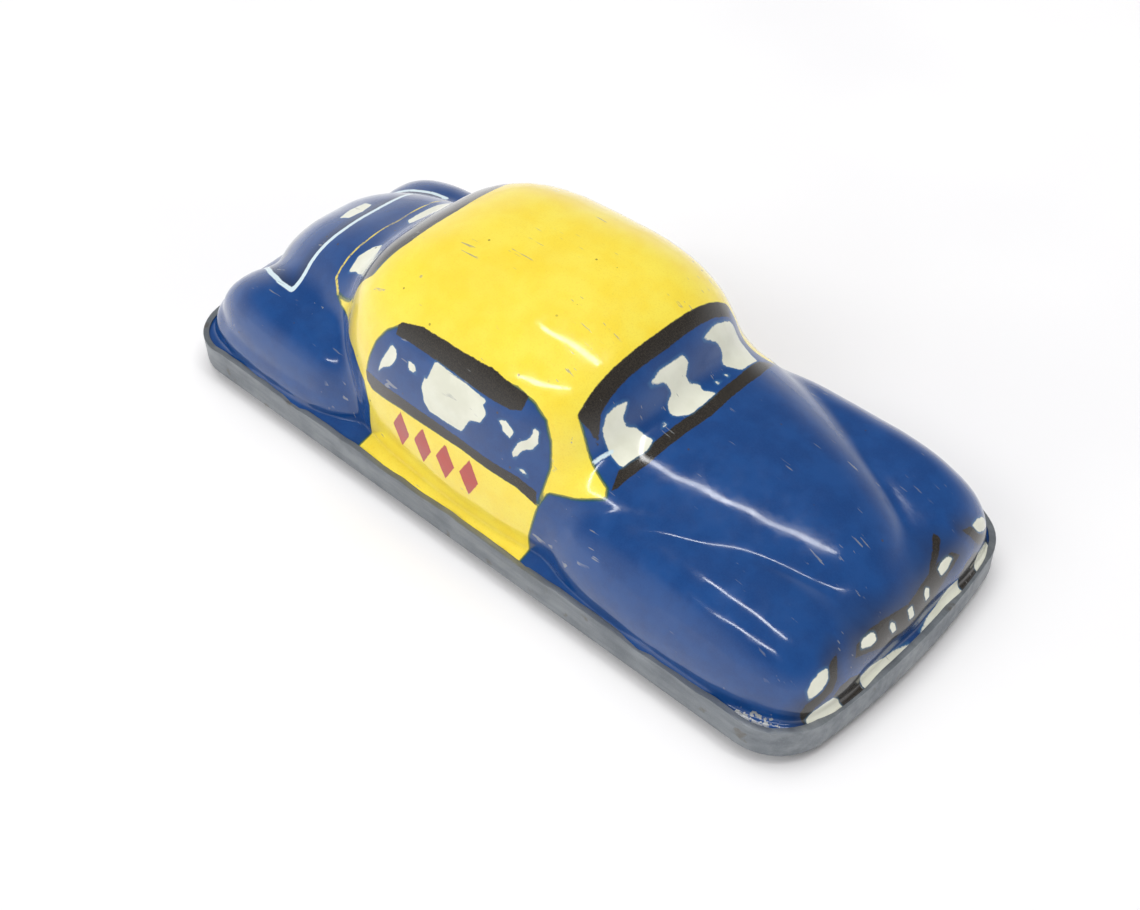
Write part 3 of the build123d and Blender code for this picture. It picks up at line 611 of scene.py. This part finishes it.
def litho_tin():
    """Glossy printed inks over tin, with drifting ink edges, grain, chips and hair scratches."""
    f = Finish("litho_tin")
    grain = f.noise(0.16, detail=2.0)
    mottle = f.noise(3.2, detail=4.0, shift=0.02)
    haze = f.noise(11.0, detail=2.0, shift=0.05)
    wander = f.sway(f.noise(0.55, detail=3.0, shift=0.03), 0.20)
    soft = f.sway(grain, 0.08)

    def layer(name, edge=0.05, drift=1.0):
        value = f.math("ADD", f.attribute(name), f.math("MULTIPLY_ADD", wander, drift, soft))
        return f.ramp(value, -edge, edge)

    blue = f.mix(f.ramp(mottle, 0.35, 0.65), ink(17, 61, 121), ink(23, 71, 134))
    blue = f.mix(f.ramp(grain, 0.2, 0.8, 0.0, 0.35), blue, ink(30, 78, 138))
    yellow = f.mix(f.ramp(mottle, 0.3, 0.7), ink(250, 222, 66), ink(252, 231, 84))
    yellow = f.mix(f.ramp(haze, 0.45, 0.75, 0.0, 0.25), yellow, ink(243, 205, 66))
    yellow = f.mix(f.ramp(grain, 0.45, 0.8, 0.0, 0.3), yellow, ink(226, 190, 58))
    cream = f.mix(f.ramp(mottle, 0.35, 0.7), ink(233, 233, 216), ink(222, 222, 203))
    black = f.mix(f.ramp(grain, 0.3, 0.7), ink(38, 34, 30), ink(54, 49, 42))

    colour = f.mix(layer("yellow", 0.04, 0.7), blue, yellow)
    overlap = f.math("SUBTRACT", 0.13, f.math("ABSOLUTE", f.attribute("yellow")))
    overlap = f.ramp(f.math("ADD", overlap, f.math("MULTIPLY", wander, 0.6)), -0.04, 0.05)
    colour = f.mix(f.math("MULTIPLY", overlap, 0.8), colour, ink(38, 84, 66))
    colour = f.mix(f.math("MULTIPLY", f.attribute("shade"), 0.75), colour, ink(44, 46, 52))
    colour = f.mix(layer("fine_line", 0.05, 0.4), colour, ink(226, 206, 96))
    emblem = f.math("ADD", f.attribute("red"), f.math("MULTIPLY", wander, 0.7))
    red = f.mix(f.ramp(mottle, 0.3, 0.7), ink(186, 60, 48), ink(172, 72, 66))
    colour = f.mix(f.ramp(emblem, -0.05, 0.04), colour, red)
    # black ink, with the painted shade line up the prow
    colour = f.mix(layer("black", 0.05, 0.9), colour, black)
    cream_edge = f.ramp(f.math("ADD", f.attribute("cream"), wander), -0.28, 0.1)
    colour = f.mix(f.math("MULTIPLY", cream_edge, 0.45), colour, ink(80, 140, 176))
    colour = f.mix(layer("cream", 0.05), colour, cream)
    # white ink, with the painted highlight streak on the windscreen pillar
    colour = f.mix(layer("white", 0.06, 0.5), colour, ink(214, 232, 238))

    # ink specks, rubbed chips down to the tin and hair scratches
    specks = f.ramp(f.cells(2.2, 0.013), 0.05, 0.075, 1.0, 0.0)
    sparse = f.ramp(f.noise(7.0, detail=1.0, shift=0.09), 0.52, 0.6)
    specks = f.math("MULTIPLY", specks, sparse)
    colour = f.mix(f.math("MULTIPLY", specks, 0.7), colour, ink(72, 58, 34))
    pale = f.math("MULTIPLY", f.ramp(f.cells(4.6, 0.031), 0.03, 0.045, 1.0, 0.0),
                  f.ramp(f.noise(6.0, detail=1.0, shift=0.15), 0.5, 0.6))
    hair = f.noise(0.5, detail=2.0, stretch=(0.12, 1.6, 0.5), shift=0.2)
    hair = f.math("MULTIPLY", f.ramp(hair, 0.665, 0.69),
                  f.ramp(f.noise(5.0, shift=0.31), 0.54, 0.62))
    wear = f.attribute("wear")
    rub = f.math("ADD", wear, f.sway(f.noise(0.45, detail=4.0, shift=0.4), 2.2))
    rub = f.math("MULTIPLY", f.ramp(rub, 0.88, 1.0), f.ramp(wear, 0.05, 0.3))
    bare = f.math("MAXIMUM", rub, f.math("MULTIPLY", hair, 0.55))
    bare = f.math("MAXIMUM", bare, f.math("MULTIPLY", pale, 0.4))
    colour = f.mix(bare, colour, ink(176, 178, 178))
    colour = f.mix(f.ramp(f.attribute("outside"), 0.2, 0.8), ink(150, 150, 146), colour)

    rough = f.ramp(f.noise(1.6, detail=5.0, shift=0.07), 0.3, 0.75, 0.10, 0.24)
    rough = f.math("MAXIMUM", rough, f.math("MULTIPLY", bare, 0.42))
    height = f.math("MULTIPLY_ADD", grain, 0.35, f.math("MULTIPLY", bare, -1.0))
    first = f.bump(height, 0.010, 0.6)
    second = f.bump(f.noise(2.6, detail=3.0, shift=0.11), 0.045, 0.5, below=first)
    return f.paint(Base_Color=colour, Roughness=rough, Metallic=f.math("MULTIPLY", bare, 0.6),
                   Normal=second, Coat_Weight=0.55, Coat_Roughness=0.07, Specular_IOR_Level=0.5)


def coated_tin():
    """Grey lacquered tinplate: dull, finely streaked along its length, blotched and stained in
    patches.
    """
    f = Finish("bare_tin")
    streak = f.noise(0.9, detail=5.0, stretch=(0.15, 1, 1), shift=0.01)
    blotch = f.noise(4.0, detail=4.0, shift=0.05)
    grain = f.noise(0.12, detail=2.0, shift=0.02)
    colour = f.mix(f.ramp(streak, 0.3, 0.7), ink(118, 123, 128), ink(140, 145, 149))
    colour = f.mix(f.ramp(blotch, 0.45, 0.7, 0.0, 0.4), colour, ink(104, 110, 117))
    colour = f.mix(f.ramp(grain, 0.5, 0.8, 0.0, 0.35), colour, ink(156, 160, 163))
    stain = f.math("MULTIPLY", f.ramp(f.noise(2.2, detail=5.0, shift=0.3), 0.62, 0.72), 0.5)
    colour = f.mix(stain, colour, ink(96, 84, 66))
    rough = f.ramp(blotch, 0.3, 0.7, 0.34, 0.52)
    first = f.bump(grain, 0.010, 0.7)
    second = f.bump(streak, 0.035, 0.6, below=first)
    return f.paint(Base_Color=colour, Roughness=rough, Metallic=0.55, Normal=second)


def bare_metal(name, dark, light, rough_range, streak_along, tarnish, metallic=1.0,
               grain_mm=0.25):
    """Uncoated metal with drawn or cut streaks, tarnish in patches and a fine grain."""
    f = Finish(name)
    streak = f.noise(grain_mm, detail=4.0, stretch=streak_along, shift=0.02)
    patch = f.noise(1.8, detail=4.0, shift=0.06)
    colour = f.mix(f.ramp(streak, 0.3, 0.7), dark, light)
    colour = f.mix(f.ramp(patch, 0.55, 0.75, 0.0, 0.6), colour, tarnish)
    rough = f.ramp(patch, 0.3, 0.75, *rough_range)
    first = f.bump(streak, 0.012, 0.7)
    second = f.bump(patch, 0.02, 0.4, below=first)
    return f.paint(Base_Color=colour, Roughness=rough, Metallic=metallic, Normal=second)


def tyre_rubber():
    """Black moulded rubber, bloomed grey where it has dried, with a scuffed tread."""
    f = Finish("tyre_rubber")
    bloom = f.noise(1.2, detail=5.0, shift=0.03)
    pore = f.noise(0.09, detail=2.0, shift=0.01)
    dust = f.ramp(f.noise(0.6, detail=4.0, shift=0.2), 0.55, 0.72, 0.0, 0.5)
    colour = f.mix(f.ramp(bloom, 0.35, 0.7), ink(26, 26, 27), ink(44, 43, 42))
    colour = f.mix(dust, colour, ink(84, 80, 74))
    first = f.bump(pore, 0.02, 0.8)
    second = f.bump(bloom, 0.04, 0.5, below=first)
    return f.paint(Base_Color=colour, Roughness=f.ramp(bloom, 0.3, 0.7, 0.62, 0.85), Normal=second)


def pale_floor():
    """Smooth pale card with a faint tooth."""
    f = Finish("pale_card")
    fibre = f.noise(1.4, detail=4.0, shift=0.02)
    cloud = f.noise(60.0, detail=2.0, shift=0.1)
    colour = f.mix(f.ramp(cloud, 0.3, 0.7), ink(250, 249, 249), ink(245, 244, 245))
    return f.paint(Base_Color=colour, Roughness=0.75, Normal=f.bump(fibre, 0.02, 0.15),
                   Specular_IOR_Level=0.2)


finishes = {
    "litho_tin": litho_tin(),
    "bare_tin": coated_tin(),
    "bracket_steel": bare_metal("bracket_steel", ink(150, 150, 150), ink(186, 186, 184),
                                (0.28, 0.5), (0.2, 1, 1), ink(120, 104, 84)),
    "rivet_steel": bare_metal("rivet_steel", ink(140, 140, 140), ink(176, 175, 172),
                              (0.3, 0.55), (1, 1, 1), ink(104, 90, 72)),
    "shaft_steel": bare_metal("shaft_steel", ink(168, 168, 168), ink(204, 204, 202),
                              (0.16, 0.34), (1, 0.12, 1), ink(128, 112, 90)),
    "cast_zinc": bare_metal("cast_zinc", ink(104, 107, 110), ink(138, 140, 142), (0.42, 0.62),
                            (1, 0.4, 1), ink(90, 90, 88), metallic=0.85, grain_mm=0.4),
    "gear_brass": bare_metal("gear_brass", ink(176, 140, 70), ink(206, 170, 92), (0.24, 0.42),
                             (1, 0.3, 1), ink(112, 86, 48)),
    "wheel_tin": bare_metal("wheel_tin", ink(164, 164, 162), ink(196, 196, 194), (0.26, 0.46),
                            (1, 1, 1), ink(130, 112, 88)),
    "tyre_rubber": tyre_rubber(),
}


def coat(piece, slot_name):
    """Give a piece the finish of its material slot and no other."""
    piece.data.materials.clear()
    piece.data.materials.append(finishes[slot_name])


for part in frame["record"]["subparts"]:
    coat(frame["nodes"][part["node"]], part["material_slot"])

body = body_pressing()
coat(body, "litho_tin")
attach(body, "chassis")
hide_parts("body_shell")

pan = rolled_pan()
coat(pan, "bare_tin")
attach(pan, "chassis")
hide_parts("base_pan")

# ---- floor, light and camera ------------------------------------------------------------
FLOOR_HALF = 1.6
floor_corners = [(FLOOR_HALF * x, FLOOR_HALF * y, 0)
                 for x, y in ((-1, -1), (1, -1), (1, 1), (-1, 1))]
floor_mesh = bpy.data.meshes.new("floor_sheet")
floor_mesh.from_pydata(floor_corners, [], [(0, 1, 2, 3)])
floor_mesh.materials.append(pale_floor())
floor = link(bpy.data.objects.new("floor_sheet", floor_mesh))


def soft_light(name, place, target, size, power, turn=0.0, reflected=True):
    """A rectangular light; one that isn't reflected lights the scene without a glint."""
    data = bpy.data.lights.new(name, "AREA")
    data.shape = "RECTANGLE"
    data.size, data.size_y = size
    data.energy = power
    light = link(bpy.data.objects.new(name, data))
    aim = (Vector(target) - Vector(place)).to_track_quat("-Z", "Y").to_matrix().to_4x4()
    light.matrix_world = Matrix.Translation(place) @ aim @ Matrix.Rotation(turn, 4, "Z")
    light.visible_glossy = reflected


soft_light("tent_top", (-0.1, 0.1, 1.3), (0, 0, 0.01), (1.5, 1.5), 11.5, reflected=False)
soft_light("tent_left", (-0.5, -1.1, 0.8), (0, 0, 0.01), (1.2, 0.9), 5.0, reflected=False)
soft_light("ceiling_tube", (0.07, 0.07, 0.72), (0, 0, 0.01), (0.045, 0.62), 1.1, turn=-0.6)
soft_light("side_tube", (0.12, -0.62, 0.66), (0, 0, 0.01), (0.75, 0.05), 1.5, turn=0.3)

world = bpy.data.worlds.new("studio_white")
bpy.context.scene.world = world
world.use_nodes = True
tent = world.node_tree
tent_height = tent.nodes.new("ShaderNodeSeparateXYZ")
tent_fade = tent.nodes.new("ShaderNodeMapRange")
tent_fade.interpolation_type = "SMOOTHSTEP"
tent_fade.inputs["From Min"].default_value = -0.05
tent_fade.inputs["From Max"].default_value = 0.62
tent_fade.inputs["To Min"].default_value = 0.85
tent_fade.inputs["To Max"].default_value = 0.16
tent.links.new(tent.nodes.new("ShaderNodeTexCoord").outputs["Generated"], tent_height.inputs[0])
tent.links.new(tent_height.outputs["Z"], tent_fade.inputs["Value"])
tent.links.new(tent_fade.outputs["Result"], tent.nodes["Background"].inputs["Strength"])
tent.nodes["Background"].inputs["Color"].default_value = (0.97, 0.98, 1.0, 1.0)

AZIMUTH, ELEVATION, ROLL = 0.772, 0.773, -0.024     # radians
DISTANCE, SLIDE_RIGHT, SLIDE_UP = 161.36, 0.95, -8.22
LOOK_AT = Vector((PRINT_X, 0, 10.0))
back = Vector((sin(AZIMUTH) * cos(ELEVATION), -cos(AZIMUTH) * cos(ELEVATION), sin(ELEVATION)))
level_right = Vector((0, 0, 1)).cross(back).normalized()
level_up = back.cross(level_right)
right = cos(ROLL) * level_right + sin(ROLL) * level_up
up = -sin(ROLL) * level_right + cos(ROLL) * level_up
camera_data = bpy.data.cameras.new("camera")
camera_data.sensor_width = 36.0
camera_data.lens = 49.62
camera_data.clip_start = 0.01
camera = link(bpy.data.objects.new("camera", camera_data))
place = (back * DISTANCE + right * SLIDE_RIGHT + up * SLIDE_UP + LOOK_AT) * MM
camera.matrix_world = Matrix.Translation(place) @ Matrix((right, up, back)).transposed().to_4x4()
bpy.context.scene.camera = camera
bpy.context.scene.view_settings.view_transform = "Standard"
